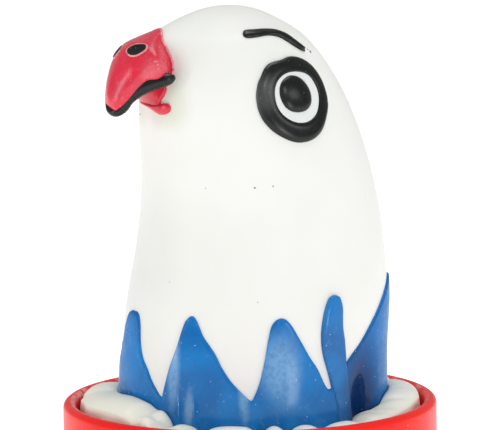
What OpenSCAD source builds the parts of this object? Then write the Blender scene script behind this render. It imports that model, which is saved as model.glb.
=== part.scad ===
// Bird-head cap of dipped rubber, standing in a round tub with its skirt gathered round it.
// The tub stands on z = 0 and the beak points along -Y.

/* [Head] */
// Width of the head at its round base, mm
head_d = 43.6; // [36:0.2:55]
// Height of the head from its open mouth to the crown, mm
head_h = 85.1; // [70:0.5:105]
// Thickness of the moulded head wall, mm
head_wall = 1.2; // [0.8:0.1:2]

/* [Skirt] */
// Radial room taken by the gathered skirt, mm
skirt_bulk = 5.1; // [4:0.05:9]
// Height of the gathered skirt's top above the tub floor, mm
skirt_top = 23.4; // [18:0.2:32]
// Thickness of the rolled hem ring, mm
hem_d = 2.6; // [1.6:0.1:3.2]

/* [Tub] */
// Height of the tub, mm
tub_h = 24; // [18:0.5:36]
// Thickness of the tub wall and of its round rim, mm
tub_wall = 2; // [1.4:0.1:3]
// Thickness of the tub floor, mm
tub_floor = 2; // [1.4:0.1:3.5]

/* [Collar] */
// Thickness of the blue film, mm
collar_t = 0.4; // [0.3:0.05:0.6]
// How far the collar is turned off the beak's line, degrees
collar_turn = -7; // [-12:1:12]

/* [Hidden] */

$fn = 96;
red = [0.86, 0.16, 0.2];
black = [0.06, 0.06, 0.07];
blue = [0.16, 0.42, 0.68];
white = [0.94, 0.94, 0.91];

seat = 0.1;              // gap between two films that lie on each other
clear = 0.3;             // gap between loose parts
head_r = head_d / 2;
mouth_z = tub_floor + clear;
skirt_in = head_r + seat + collar_t + clear;
skirt_out = skirt_in + skirt_bulk;
tub_r = skirt_out + clear + tub_wall;

// Shape of the head: height as a share of head_h, then its reach to the front, to the
// back and to each side as shares of head_r.
rings = [
  [0,     1,     1,      1],
  [0.124, 1,     1,      1],
  [0.257, 1,     1,      1],
  [0.359, 0.927, 1.005,  0.966],
  [0.451, 0.882, 1.03,   0.956],
  [0.543, 0.812, 1.018,  0.906],
  [0.635, 0.769, 0.973,  0.854],
  [0.727, 0.774, 0.884,  0.804],
  [0.809, 0.792, 0.766,  0.74],
  [0.88,  0.782, 0.618,  0.651],
  [0.942, 0.682, 0.418,  0.515],
  [0.974, 0.503, 0.227,  0.35],
  [0.993, 0.334, 0.058,  0.187],
  [1,     0.138, -0.138, 0]
];
ring_last = len(rings) - 1;
brow_bump = [0.954, 0.04, 0.119]; // centre and spread up the head, reach as a share of head_r

// The crown is round, so the rings are joined by a curve that runs evenly into its top.
function evenly(s) = 1 - sqrt(max(0, 1 - s));
function slope(i, k) =
  i == 0 ? 0 :
  let(a = rings[i - 1], b = rings[min(i + 1, ring_last)], a2 = i == ring_last ? rings[i - 1] : a)
  (b[k] - a2[k]) / (evenly(b[0]) - evenly(a2[0]));
function reach(s, k) =
  let(u = evenly(s),
      i = max([for (j = [0:ring_last - 1]) if (u >= evenly(rings[j][0]) - 1e-9) j]),
      w = evenly(rings[i + 1][0]) - evenly(rings[i][0]),
      t = (u - evenly(rings[i][0])) / w)
  (2 * t^3 - 3 * t^2 + 1) * rings[i][k] + (t^3 - 2 * t^2 + t) * w * slope(i, k)
  + (3 * t^2 - 2 * t^3) * rings[i + 1][k] + (t^3 - t^2) * w * slope(i + 1, k);

// A point of the head: angle from the beak towards the bird's left, share of the height.
function skin(angle, s) =
  let(f = reach(s, 1), b = reach(s, 2),
      bump = brow_bump[2] * exp(-((s - brow_bump[0]) / brow_bump[1])^2)
             * max(0, cos(angle))^10)
  [head_r * reach(s, 3) * sin(angle),
   -head_r * ((f - b) / 2 + (f + b) / 2 * cos(angle) + bump),
   mouth_z + head_h * s];
function outward(angle, s) =
  let(t = min(max(s, 0.002), 0.995),
      n = cross(skin(angle + 1, t) - skin(angle - 1, t),
                skin(angle, t + 0.002) - skin(angle, t - 0.002)))
  n / norm(n);
function on_head(angle, s, lift) =
  skin(angle, s) + lift * (s < 0.003 ? [sin(angle), -cos(angle), 0] : outward(angle, s));

// A smooth curve through points. ring = true closes it.
function spline(p, ring = false, steps = 4) =
  let(n = len(p), last = ring ? n - 1 : n - 2,
      at = function (i) ring ? p[(i + n) % n] : p[min(max(i, 0), n - 1)])
  [for (i = [0:last], j = [0:steps - 1])
     let(t = j / steps, a = at(i - 1), b = at(i), c = at(i + 1), d = at(i + 2))
     0.5 * (2 * b + (c - a) * t + (2 * a - 5 * b + 4 * c - d) * t^2
            + (3 * b - a - 3 * c + d) * t^3),
   if (!ring) p[n - 1]];

// Closed skin over rows of points. Each row is a loop that turns anticlockwise about the
// way the rows run, and the ends are capped.
module loft(rows) {
  n = len(rows[0]);
  m = len(rows);
  polyhedron(
    points = [for (r = rows) each r],
    faces = [
      [for (j = [0:n - 1]) j],
      for (i = [0:m - 2], j = [0:n - 1])
        let(a = i * n + j, b = i * n + (j + 1) % n)
        each [[a, b + n, b], [a, a + n, b + n]],
      [for (j = [n - 1:-1:0]) (m - 1) * n + j]
    ]);
}

// The same skin with a single point at each end.
module bulb(first, rows, last) {
  n = len(rows[0]);
  m = len(rows);
  end = m * n + 1;
  polyhedron(
    points = [first, for (r = rows) each r, last],
    faces = [
      for (j = [0:n - 1]) [0, 1 + j, 1 + (j + 1) % n],
      for (i = [0:m - 2], j = [0:n - 1])
        let(a = 1 + i * n + j, b = 1 + i * n + (j + 1) % n)
        each [[a, b + n, b], [a, a + n, b + n]],
      for (j = [0:n - 1]) [end, (m - 1) * n + 1 + (j + 1) % n, (m - 1) * n + 1 + j]
    ]);
}

// An outline as seen from outside, always taken clockwise.
function clockwise(p) =
  let(n = len(p),
      twice = [for (i = [0:n - 1]) let(q = p[(i + 1) % n]) p[i][0] * q[1] - q[0] * p[i][1]])
  twice * [for (v = twice) 1] < 0 ? p : [for (i = [n - 1:-1:0]) p[i]];

// A thin film on the head inside an outline of [angle, share] points, thickest in the middle.
module film(outline, base, thick, dome = 0) {
  rim = spline(clockwise(outline), ring = true);
  one = [for (p = rim) 1];
  mid = one * rim / len(rim);
  inset = [0.25, 0.5, 0.75, 0.92, 1];
  last = len(inset) - 1;
  function spot(p, share, lift) = let(q = mid + (p - mid) * share) on_head(q[0], q[1], lift);
  bulb(on_head(mid[0], mid[1], base + thick + dome),
       [for (k = inset) [for (p = rim)
          spot(p, k, base + (k == 1 ? 0.5 * thick : thick + dome * (1 - k^2)))],
        for (k = [last:-1:0]) [for (p = rim) spot(p, inset[k], base)]],
       on_head(mid[0], mid[1], base));
}

// ---- tub ----

foot_fillet = 1.5;
floor_fillet = 2;
foot_recess = 0.6;
foot_w = 3.5;

module tub_outline(r, h, fillet) {
  square([r - fillet, h]);
  translate([r - fillet, fillet]) circle(fillet);
  translate([0, fillet]) square([r, h - fillet]);
}

module tub() {
  color(red) rotate_extrude() difference() {
    union() {
      tub_outline(tub_r, tub_h - tub_wall / 2, foot_fillet);
      translate([tub_r - tub_wall / 2, tub_h - tub_wall / 2]) circle(d = tub_wall);
    }
    translate([0, tub_floor]) tub_outline(tub_r - tub_wall, tub_h, floor_fillet);
    square([tub_r - foot_fillet - foot_w, foot_recess]);
  }
}

// ---- skirt and hem ----

hem_r = skirt_in + hem_d / 2 + 0.4;
skirt_low = 2 * clear + hem_d;
skirt_folds = 5;         // bulges round the skirt's section
fold_depth = 0.05;

module hem_ring() {
  color(white) rotate_extrude()
    translate([hem_r, tub_floor + clear / 2 + hem_d / 2]) circle(d = hem_d);
}

module skirt() {
  h = (skirt_top - skirt_low) / 2;
  color(white) rotate_extrude()
    translate([skirt_in + skirt_bulk / 2, tub_floor + skirt_low + h])
      polygon([for (a = [0:7.5:352.5])
        let(grow = 1 - fold_depth * (1 - cos(skirt_folds * (a - 90))))
        [skirt_bulk / 2 * grow * sign(cos(a)) * abs(cos(a))^0.5,
         h * grow * sign(sin(a)) * abs(sin(a))^0.8]]);
}

// ---- head ----

around = [for (a = [0:7.5:352.5]) a];
levels = [0, 0.12, 0.25, 0.31, 0.36, 0.42, 0.48, 0.54, 0.59, 0.64, 0.69, 0.73, 0.77, 0.81,
          0.845, 0.875, 0.9, 0.92, 0.94, 0.955, 0.968, 0.979, 0.988, 0.995];

function head_rows(lift, sides) =
  [for (s = levels) [for (a = sides) on_head(a, s, lift)]];
function crown(lift) = skin(0, 1) + [0, 0, lift];

module head_solid(lift) {
  rows = head_rows(lift, around);
  bulb([0, 0, mouth_z], rows, crown(lift));
}

module head_shell() {
  outer = head_rows(0, around);
  inner = head_rows(-head_wall, around);
  n = len(around);
  m = len(levels);
  top = m * n;
  low = top + 1;
  end = low + m * n;
  color(white) polyhedron(
    points = [for (r = outer) each r, crown(0), for (r = inner) each r, crown(-head_wall)],
    faces = [
      for (i = [0:m - 2], j = [0:n - 1])
        let(a = i * n + j, b = i * n + (j + 1) % n)
        each [[a, b + n, b], [a, a + n, b + n],
              [low + a, low + b, low + b + n], [low + a, low + b + n, low + a + n]],
      for (j = [0:n - 1])
        let(k = (j + 1) % n)
        each [[top, (m - 1) * n + k, (m - 1) * n + j],
              [end, low + (m - 1) * n + j, low + (m - 1) * n + k],
              [j, low + k, low + j], [j, k, low + k]]
    ]);
}

// ---- feather collar ----

// Half of the upper edge, from the front: angle from the collar's own front, share of height.
feather_edge = [
  [0, 0.436], [6, 0.408], [14, 0.344], [20, 0.321],
  [26, 0.289], [30, 0.356], [34, 0.415],
  [38, 0.442], [44, 0.415], [52, 0.362], [61, 0.323],
  [67, 0.295], [71, 0.344], [74, 0.415],
  [78, 0.448], [84, 0.4], [91, 0.362], [97, 0.333],
  [100, 0.36], [101.5, 0.43],
  [104, 0.462], [108, 0.42], [112, 0.37],
  [116, 0.362], [127, 0.408], [144, 0.464],
  [158, 0.488], [168, 0.466], [175, 0.395],
  [180, 0.361]
];
collar_low = 0.03;

module feather_collar() {
  back = len(feather_edge) - 2;
  edge = spline([for (p = feather_edge) p,
                 for (i = [back:-1:1]) [360 - feather_edge[i][0], feather_edge[i][1]],
                 [360, feather_edge[0][1]], [366, feather_edge[1][1]]], steps = 2);
  used = [for (p = edge) if (p[0] < 360) p];
  n = len(used);
  up = [0, 0.13, 0.26, 0.39, 0.52, 0.64, 0.76, 0.88, 0.96, 1];
  top = len(up) - 1;
  function spot(p, k, lift) =
    on_head(p[0] + collar_turn, collar_low + (p[1] - collar_low) * k, lift);
  rows = [for (k = up) [for (p = used) spot(p, k, seat + (k == 1 ? 0.4 : 1) * collar_t)],
          for (k = [top:-1:0]) [for (p = used) spot(p, up[k], seat)]];
  m = len(rows);
  color(blue) polyhedron(
    points = [for (r = rows) each r],
    faces = [for (i = [0:m - 1], j = [0:n - 1])
      let(a = i * n + j, b = i * n + (j + 1) % n,
          c = (i + 1) % m * n + (j + 1) % n, d = (i + 1) % m * n + j)
      each [[a, c, b], [a, d, c]]]);
}

tall_outline = [[102, 0.474], [97.5, 0.445], [98, 0.4], [102, 0.35], [105, 0.29],
                [112, 0.28], [114.5, 0.32], [110.5, 0.385], [108, 0.44]];

module tall_feather(side) {
  color(blue) film([for (p = tall_outline) [collar_turn + side * p[0], p[1]]],
                   3 * seat + collar_t, 0.4, 0.4);
}

// ---- beak ----

// Ridge, underside and half-width from the root to the tip: forward reach and half-width
// as shares of head_r, heights as shares of head_h.
beak_ridge = [[0.6, 0.966], [0.784, 0.9625], [0.93, 0.949], [1.05, 0.927],
              [1.125, 0.893], [1.165, 0.858], [1.155, 0.84]];
beak_under = [[0.6, 0.884], [0.78, 0.885], [0.87, 0.88], [0.945, 0.871],
              [1.005, 0.862], [1.064, 0.848], [1.11, 0.836]];
beak_half = [0.31, 0.3, 0.27, 0.225, 0.17, 0.11, 0.045];

module beak_body() {
  stations = spline([for (i = [0:6]) [beak_ridge[i], beak_under[i], beak_half[i]]]);
  rows = [for (q = stations)
    let(mid = (q[0] + q[1]) / 2, half = (q[0] - q[1]) / 2)
    [for (a = [0:15:345])
      [-head_r * q[2] * sin(a),
       -head_r * (mid[0] + half[0] * cos(a)),
       mouth_z + head_h * (mid[1] + half[1] * cos(a))]]];
  loft(rows);
}

nostril_r = 1.05;
nostril_depth = 1.2;
nostril_tilt = 50;       // from straight up towards the side, degrees
nostril_at = [0.147, 0.975, 0.932]; // sideways and forward, then height

module nostril_plug(r, low, high) {
  translate([head_r * nostril_at[0], -head_r * nostril_at[1],
             mouth_z + head_h * nostril_at[2]])
    rotate([0, nostril_tilt, 0]) translate([0, 0, low]) cylinder(r = r, h = high - low);
}

module beak_upper() {
  color(red) difference() {
    beak_body();
    head_solid(seat);
    for (side = [0, 1]) mirror([side, 0, 0])
      nostril_plug(nostril_r + seat, -nostril_depth - seat, 3);
  }
}

module nostril() {
  color(black) nostril_plug(nostril_r, -nostril_depth, 0.25);
}

module beak_lower() {
  color(red) film([[-14, 0.832], [-6, 0.838], [2, 0.847], [9, 0.855], [14, 0.861],
                   [15, 0.852], [12, 0.84], [9, 0.832], [3, 0.827], [-5, 0.828]],
                  seat, 0.5, 0.3);
}

module chin_drop() {
  color(red) film([[1, 0.818], [6, 0.822], [11, 0.826], [15, 0.823], [17, 0.816],
                   [15, 0.809], [11, 0.808], [6, 0.812]], seat, 0.6, 0.4);
}

// Half of the mouth bead, from under the beak's tip to its end on the cheek:
// sideways and forward shares of head_r, height share, radius in mm.
mouth_path = [[0, 1.133, 0.822, 0.7], [0.03, 1.096, 0.818, 0.8], [0.06, 1.06, 0.827, 0.85],
              [0.1, 1.023, 0.845, 0.85], [0.156, 0.968, 0.86, 0.8],
              [0.211, 0.913, 0.871, 0.8], [0.266, 0.849, 0.879, 0.8],
              [0.303, 0.789, 0.8825, 0.5]];

module mouth_line() {
  ends = len(mouth_path) - 1;
  far = [for (i = [ends:-1:1]) let(p = mouth_path[i]) [-p[0], p[1], p[2], p[3]]];
  path = spline([each far, each mouth_path], steps = 2);
  place = [for (p = path) [head_r * p[0], -head_r * p[1], mouth_z + head_h * p[2]]];
  last = len(place) - 1;
  rows = [for (i = [0:last])
    let(d = place[min(i + 1, last)] - place[max(i - 1, 0)],
        t = d / norm(d),
        side = cross([0, 0, 1], t), e = side / norm(side), f = cross(t, e))
    [for (a = [0:30:330]) place[i] + path[i][3] * (e * cos(a) + f * sin(a))]];
  color(black) difference() {
    loft(rows);
    head_solid(seat);
  }
}

// ---- eyes and brows ----

patch_outline = [[72, 0.855], [79, 0.889], [86, 0.904], [92, 0.905], [99, 0.91],
                 [109, 0.912], [120, 0.903], [124, 0.88], [117, 0.834], [105, 0.791],
                 [92, 0.764], [80, 0.765], [71.5, 0.797]];
white_outline = [[82, 0.846], [88.5, 0.871], [98, 0.885], [107, 0.884], [112, 0.858],
                 [108, 0.825], [99, 0.804], [90, 0.794], [83, 0.806]];
pupil_outline = [[85.5, 0.85], [92, 0.867], [100, 0.878], [105, 0.868], [105, 0.848],
                 [99, 0.824], [91, 0.816], [85, 0.828]];
brow_outline = [[71.5, 0.955], [74, 0.962], [80, 0.965], [92, 0.958], [108, 0.944],
                [123, 0.918], [106, 0.933], [90, 0.945], [78, 0.95], [73, 0.95]];
eye_film = 0.45;

module eye_patch() {
  color(black) film(patch_outline, seat, eye_film);
}

module eye_white() {
  color(white) film(white_outline, 2 * seat + eye_film, eye_film);
}

module pupil() {
  color(black) film(pupil_outline, 3 * seat + 2 * eye_film, eye_film, 0.3);
}

module eyebrow() {
  color(black) film(brow_outline, seat, eye_film, 0.2);
}

module other_side() {
  mirror([1, 0, 0]) children();
}

tub();
hem_ring();
skirt();
head_shell();
feather_collar();
tall_feather(1);  // tall_feather_left
tall_feather(-1);  // tall_feather_right
beak_upper();
beak_lower();
mouth_line();
chin_drop();
nostril();  // nostril_left
other_side() nostril();  // nostril_right
eye_patch();  // eye_patch_left
other_side() eye_patch();  // eye_patch_right
eye_white();  // eye_white_left
other_side() eye_white();  // eye_white_right
pupil();  // pupil_left
other_side() pupil();  // pupil_right
eyebrow();  // eyebrow_left
other_side() eyebrow();  // eyebrow_right
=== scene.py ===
"""Looks for a dipped-rubber bird-head cap that stands in a round tub.

Lengths are millimetres until a mesh is made. A place on the head is [angle, share]: the angle
in degrees from the beak towards the bird's left, and the share of the head's height.
"""
import math

import bpy
import numpy as np
from mathutils import Matrix, Vector


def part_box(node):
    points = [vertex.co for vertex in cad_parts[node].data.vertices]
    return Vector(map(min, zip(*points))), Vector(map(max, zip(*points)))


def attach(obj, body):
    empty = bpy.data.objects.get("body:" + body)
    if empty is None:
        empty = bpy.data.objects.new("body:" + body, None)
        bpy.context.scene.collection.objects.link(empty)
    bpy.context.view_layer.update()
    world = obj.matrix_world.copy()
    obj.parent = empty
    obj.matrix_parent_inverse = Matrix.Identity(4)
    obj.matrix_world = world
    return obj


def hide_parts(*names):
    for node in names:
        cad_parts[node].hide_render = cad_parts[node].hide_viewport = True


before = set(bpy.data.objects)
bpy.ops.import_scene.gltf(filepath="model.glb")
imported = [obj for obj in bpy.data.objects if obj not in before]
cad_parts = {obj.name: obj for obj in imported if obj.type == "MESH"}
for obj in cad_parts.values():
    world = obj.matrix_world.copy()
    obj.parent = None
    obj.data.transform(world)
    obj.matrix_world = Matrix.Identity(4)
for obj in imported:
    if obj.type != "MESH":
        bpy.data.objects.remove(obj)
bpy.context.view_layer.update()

MM = 0.001
SIDES = {"left": 1, "right": -1}  # the bird's own left and right, along x
head_low, head_high = [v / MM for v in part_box("head_shell")]
tub_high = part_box("tub")[1] / MM
HEAD_R = head_high.x
MOUTH_Z = head_low.z
HEAD_H = head_high.z - head_low.z
TUB_R = tub_high.x
TUB_H = tub_high.z
TUB_WALL = 2.0
TUB_FLOOR = 2.0
HEAD_WALL = 1.2
COLLAR_T = 0.4
COLLAR_TURN = -7.0  # degrees from the beak to the collar's own front
SUNK = -0.1  # lift in mm of a film's hidden faces, in the rubber below


# ---------------------------------------------------------------- materials

def material(name, color, roughness, specular=0.5, coat=0.0, coat_roughness=0.2, coat_ior=1.5):
    """A plain material; nodes linked to it take over its colour and roughness."""
    m = bpy.data.materials.new(name)
    m.use_nodes = True
    shader = m.node_tree.nodes["Principled BSDF"]
    shader.inputs["Base Color"].default_value = (*color, 1)
    shader.inputs["Roughness"].default_value = roughness
    shader.inputs["Coat Weight"].default_value = coat
    shader.inputs["Coat Roughness"].default_value = coat_roughness
    shader.inputs["Coat IOR"].default_value = coat_ior
    shader.inputs["Specular IOR Level"].default_value = specular
    return m


class Nodes:
    """Short names for the node work on one material."""

    def __init__(self, m):
        self.tree = m.node_tree
        self.shader = self.tree.nodes["Principled BSDF"]
        self.place = self.add("ShaderNodeTexCoord").outputs["Object"]

    def add(self, kind, **values):
        node = self.tree.nodes.new(kind)
        for key, value in values.items():
            setattr(node, key, value)
        return node

    def link(self, a, b):
        self.tree.links.new(a, b)

    def texture(self, kind, size_mm):
        """A texture node whose pattern repeats at about size_mm."""
        where = self.add("ShaderNodeMapping")
        where.inputs["Scale"].default_value = [1 / (size_mm * MM)] * 3
        self.link(self.place, where.inputs["Vector"])
        n = self.add(kind)
        n.inputs["Scale"].default_value = 1.0
        self.link(where.outputs["Vector"], n.inputs["Vector"])
        return n

    def noise(self, size_mm, detail=3.0, rough=0.55, distort=0.0):
        n = self.texture("ShaderNodeTexNoise", size_mm)
        n.inputs["Detail"].default_value = detail
        n.inputs["Roughness"].default_value = rough
        n.inputs["Distortion"].default_value = distort
        return n.outputs["Fac"]

    def dots(self, size_mm, radius):
        """1 inside small scattered dots, 0 elsewhere; radius is a share of their spacing."""
        cells = self.texture("ShaderNodeTexVoronoi", size_mm)
        return self.ramp(cells.outputs["Distance"], radius * 0.6, radius, 1, 0)

    def ramp(self, value, start, end, low=0.0, high=1.0):
        """low up to start, high from end on, with a smooth change between them."""
        r = self.add("ShaderNodeMapRange", interpolation_type="SMOOTHSTEP")
        r.inputs["From Min"].default_value = start
        r.inputs["From Max"].default_value = end
        r.inputs["To Min"].default_value = low
        r.inputs["To Max"].default_value = high
        self.link(value, r.inputs["Value"])
        return r.outputs["Result"]

    def math(self, kind, a, b):
        n = self.add("ShaderNodeMath", operation=kind)
        for socket, value in zip(n.inputs, (a, b)):
            if isinstance(value, (int, float)):
                socket.default_value = value
            else:
                self.link(value, socket)
        return n.outputs["Value"]

    def axis(self, letter):
        split = self.add("ShaderNodeSeparateXYZ")
        self.link(self.place, split.inputs[0])
        return split.outputs[letter]

    def near(self, place_mm, radius_mm, stretch=(1, 1, 1)):
        """1 at a place, fading to 0 at the radius; stretch above 1 makes a side shorter."""
        where = self.add("ShaderNodeVectorMath", operation="SUBTRACT")
        self.link(self.place, where.inputs[0])
        where.inputs[1].default_value = [v * MM for v in place_mm]
        scaled = self.add("ShaderNodeVectorMath", operation="MULTIPLY")
        self.link(where.outputs["Vector"], scaled.inputs[0])
        scaled.inputs[1].default_value = stretch
        far = self.add("ShaderNodeVectorMath", operation="LENGTH")
        self.link(scaled.outputs["Vector"], far.inputs[0])
        return self.ramp(far.outputs["Value"], radius_mm * MM, 0.25 * radius_mm * MM)

    def spots(self, base, place_mm, radius_mm, color, strength=1.0, stretch=(1, 1, 1), grain=None):
        """The base colour with a soft spot on each side of the bird; grain breaks it up."""
        x, y, z = place_mm
        for side in SIDES.values():
            share = self.math("MULTIPLY", self.near((side * x, y, z), radius_mm, stretch), strength)
            if grain is not None:
                share = self.math("MULTIPLY", share, grain)
            base = self.mix(share, base, color)
        return base

    def mix(self, share, a, b):
        """Colour a where share is 0, colour b where it is 1."""
        n = self.add("ShaderNodeMix", data_type="RGBA")
        self.link(share, n.inputs["Factor"])
        for socket, value in ((n.inputs[6], a), (n.inputs[7], b)):  # its two colour sockets
            if isinstance(value, tuple):
                socket.default_value = (*value, 1)
            else:
                self.link(value, socket)
        return n.outputs[2]

    def color(self, value):
        self.link(value, self.shader.inputs["Base Color"])

    def roughness(self, value):
        self.link(value, self.shader.inputs["Roughness"])

    def bump(self, height, depth_mm, strength, before=None):
        """Shading of small dents and swellings, on top of the bump made before."""
        b = self.add("ShaderNodeBump")
        b.inputs["Strength"].default_value = strength
        b.inputs["Distance"].default_value = depth_mm * MM
        self.link(height, b.inputs["Height"])
        if before is not None:
            self.link(before, b.inputs["Normal"])
        self.link(b.outputs["Normal"], self.shader.inputs["Normal"])
        return b.outputs["Normal"]


def white_rubber(name="white_rubber", grey=0.0):
    """Cloudy white with a few dark specks, yellowed and with painted shade on the throat under the
    beak.
    """
    m = material(name, (0.9, 0.91, 0.87), 0.42, specular=0.35)
    n = Nodes(m)
    cloudy = n.ramp(n.noise(16, 3), 0.35, 0.7)
    base = n.mix(cloudy, (0.915 - 1.4 * grey, 0.925 - grey, 0.885 - 0.6 * grey),
                 (0.895 - 1.4 * grey, 0.908 - grey, 0.862 - 0.6 * grey))
    # Yellow tint with painted shade on the throat under the beak.
    base = n.spots(base, (4.5, -16, 73), 5.5, (0.7, 0.73, 0.56), 0.6)
    specks = n.math("MULTIPLY", n.dots(5.5, 0.035), n.ramp(n.noise(9, 1), 0.52, 0.6))
    n.color(n.mix(specks, base, (0.16, 0.15, 0.12)))
    n.roughness(n.ramp(n.noise(3.5, 4), 0.3, 0.75, 0.38, 0.52))
    n.bump(n.noise(0.9, 3), 0.02, 0.35, before=n.bump(n.noise(9, 2), 0.12, 0.35))
    return m


def film_rubber():
    """The skirt's thin, creamy white film."""
    m = material("film_rubber", (0.88, 0.9, 0.81), 0.36, specular=0.4)
    n = Nodes(m)
    cloudy = n.ramp(n.noise(7, 4), 0.35, 0.7)
    n.color(n.mix(cloudy, (0.985, 0.975, 0.85), (0.965, 0.955, 0.83)))
    n.roughness(n.ramp(n.noise(2.5, 4), 0.3, 0.75, 0.3, 0.48))
    n.bump(n.noise(0.7, 3), 0.02, 0.35,
           before=n.bump(n.noise(3.2, 3, distort=0.6), 0.12, 0.4))
    return m


# Painted highlights on the blue, each a pale spot: place in mm, radius in mm, stretch.
PAINTED_BLUE_HIGHLIGHTS = [((8.8, -18.8, 31), 4.4, (2.9, 1, 0.6)), ((11.6, -17.7, 25.5), 2.8, (2.8, 1, 0.6)),
               ((18, -11.5, 27.5), 2.8, (1.2, 2.8, 0.5)), ((20.7, -6.2, 32), 5.6, (1, 1.25, 0.72))]


def blue_rubber(name="blue_rubber", pale=0.0):
    """Blue with painted highlights, painted shade in the hollow beside each tall feather, and dust.
    """
    m = material(name, (0.004, 0.14, 0.42), 0.34, specular=0.03,
                 coat=0.085, coat_roughness=0.13, coat_ior=3.0)
    n = Nodes(m)
    deep = (0.001 + 0.03 * pale, 0.145 + 0.005 * pale, 0.46 - 0.06 * pale)
    light = (0.002 + 0.03 * pale, 0.21 + 0.005 * pale, 0.6 - 0.06 * pale)
    base = n.mix(n.ramp(n.noise(8, 4, distort=0.5), 0.35, 0.68), deep, light)
    bloom = n.math("MULTIPLY", n.ramp(n.noise(1.1, 5), 0.56, 0.72), 0.1)
    base = n.mix(bloom, base, (0.3, 0.55, 0.78))
    # Painted shade: dark navy in the hollow beside each tall feather.
    base = n.spots(base, (19.2, 8.8, 25), 8.5, (0.004, 0.035, 0.15), stretch=(1, 1.2, 0.62))
    grain = n.ramp(n.noise(0.7, 5), 0.3, 0.6, 0.6, 1)
    # Painted highlights, broken up by the grain.
    for place, radius, stretch in PAINTED_BLUE_HIGHLIGHTS:
        base = n.spots(base, place, radius, (0.42, 0.68, 0.85), 0.37, stretch, grain)
    dust = n.math("MULTIPLY", n.dots(1.0, 0.085), n.ramp(n.noise(3, 2), 0.42, 0.52))
    n.color(n.mix(dust, base, (0.62, 0.82, 0.94)))
    n.roughness(n.ramp(n.noise(1.6, 5), 0.3, 0.75, 0.26, 0.42))
    n.bump(n.noise(0.55, 3), 0.006, 0.3, before=n.bump(n.noise(4, 2), 0.06, 0.3))
    return m


def red_rubber(name="red_rubber", chalky=0.0):
    """Red with pale bloom and dust, and a painted highlight crescent over the lobe behind the
    mouth.
    """
    m = material(name, (0.74, 0.015, 0.05), 0.34, specular=0.25, coat=0.5, coat_roughness=0.24)
    n = Nodes(m)
    base = n.mix(n.ramp(n.noise(4, 4, distort=0.4), 0.35, 0.7), (0.78, 0.016, 0.05),
                 (0.66, 0.028, 0.065))
    patchy = n.ramp(n.noise(0.9, 6, rough=0.7), 0.52 - 0.2 * chalky, 0.75 - 0.15 * chalky)
    bloom = n.math("MULTIPLY", patchy, 0.35 + 0.5 * chalky)
    base = n.mix(bloom, base, (0.84, 0.22 + 0.25 * chalky, 0.25 + 0.22 * chalky))
    # A painted highlight: a pale crescent over the upper edge of each lobe behind the mouth.
    for side in SIDES.values():
        inside = n.near((side * 5.9, -18.7, 77.2), 2.9)
        painted_highlight = n.math("MULTIPLY", n.near((side * 5.9, -19.5, 78.2), 3.0),
                        n.math("SUBTRACT", 1.0, inside))
        base = n.mix(n.math("MULTIPLY", painted_highlight, 0.4), base, (0.86, 0.3, 0.34))
    dust = n.math("MULTIPLY", n.dots(0.62, 0.11), n.ramp(n.noise(2.2, 2), 0.48, 0.56))
    n.color(n.mix(dust, base, (0.95, 0.7, 0.68)))
    n.roughness(n.ramp(n.noise(1.2, 5), 0.3, 0.75, 0.2, 0.36))
    n.bump(n.noise(0.45, 3), 0.012, 0.4)
    return m


def black_rubber():
    """Black with grey bloom and dust, and a painted sheen on the front side of each eye patch."""
    m = material("black_rubber", (0.002, 0.003, 0.002), 0.36, specular=0.2,
                 coat=0.4, coat_roughness=0.22)
    n = Nodes(m)
    grey = n.math("MULTIPLY", n.ramp(n.noise(0.7, 6, rough=0.7), 0.5, 0.78), 0.35)
    base = n.mix(grey, (0.002, 0.004, 0.003), (0.03, 0.036, 0.032))
    # Painted sheen: paler grey on the front side of each eye patch.
    base = n.spots(base, (15.1, -5.8, 75), 4.4, (0.11, 0.12, 0.115), 0.5)
    dust = n.math("MULTIPLY", n.dots(0.6, 0.1), n.ramp(n.noise(2, 2), 0.52, 0.58))
    n.color(n.mix(dust, base, (0.42, 0.45, 0.42)))
    n.roughness(n.ramp(n.noise(1.0, 5), 0.3, 0.75, 0.24, 0.38))
    n.bump(n.noise(0.4, 3), 0.012, 0.4)
    return m


def tub_plastic():
    """Red plastic with specks, pale in patches just inside the rim: partly wear, partly a painted
    highlight on its rounded inner edge.
    """
    m = material("tub_plastic", (0.93, 0.02, 0.015), 0.3, specular=0.15)
    n = Nodes(m)
    base = n.mix(n.ramp(n.noise(12, 3), 0.35, 0.7), (0.95, 0.022, 0.016), (0.88, 0.016, 0.014))
    x, y, z = (n.axis(k) for k in "XYZ")
    radius = n.math("SQRT", n.math("ADD", n.math("MULTIPLY", x, x), n.math("MULTIPLY", y, y)), 0)
    # Pale patches just inside the rim: partly wear, partly a painted highlight on the rounded inner
    # edge.
    inner = n.math("MULTIPLY", n.ramp(radius, (TUB_R - 1.0) * MM, (TUB_R - 1.3) * MM),
                   n.ramp(z, (TUB_H - 1.5) * MM, (TUB_H - 0.7) * MM))
    worn_and_highlight = n.math("MULTIPLY", inner, n.ramp(n.noise(0.9, 4), 0.4, 0.55, 0, 0.8))
    worn_and_highlight = n.math("MULTIPLY", worn_and_highlight, n.ramp(n.noise(7, 2), 0.38, 0.55))
    base = n.mix(worn_and_highlight, base, (0.95, 0.42, 0.4))
    specks = n.math("MULTIPLY", n.dots(1.7, 0.075), n.ramp(n.noise(5, 2), 0.5, 0.6))
    n.color(n.mix(specks, base, (0.95, 0.72, 0.68)))
    n.roughness(n.ramp(n.noise(6, 3), 0.3, 0.75, 0.28, 0.36))
    n.bump(n.noise(9, 2), 0.02, 0.2)
    return m


# ---------------------------------------------------------------- curves and meshes

def cubic(t, step, start, leave, end, arrive):
    """From start to end while t goes from 0 to 1, with these slopes over the step."""
    return ((2 * t**3 - 3 * t**2 + 1) * start + (t**3 - 2 * t**2 + t) * step * leave
            + (3 * t**2 - 2 * t**3) * end + (t**3 - t**2) * step * arrive)


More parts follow.
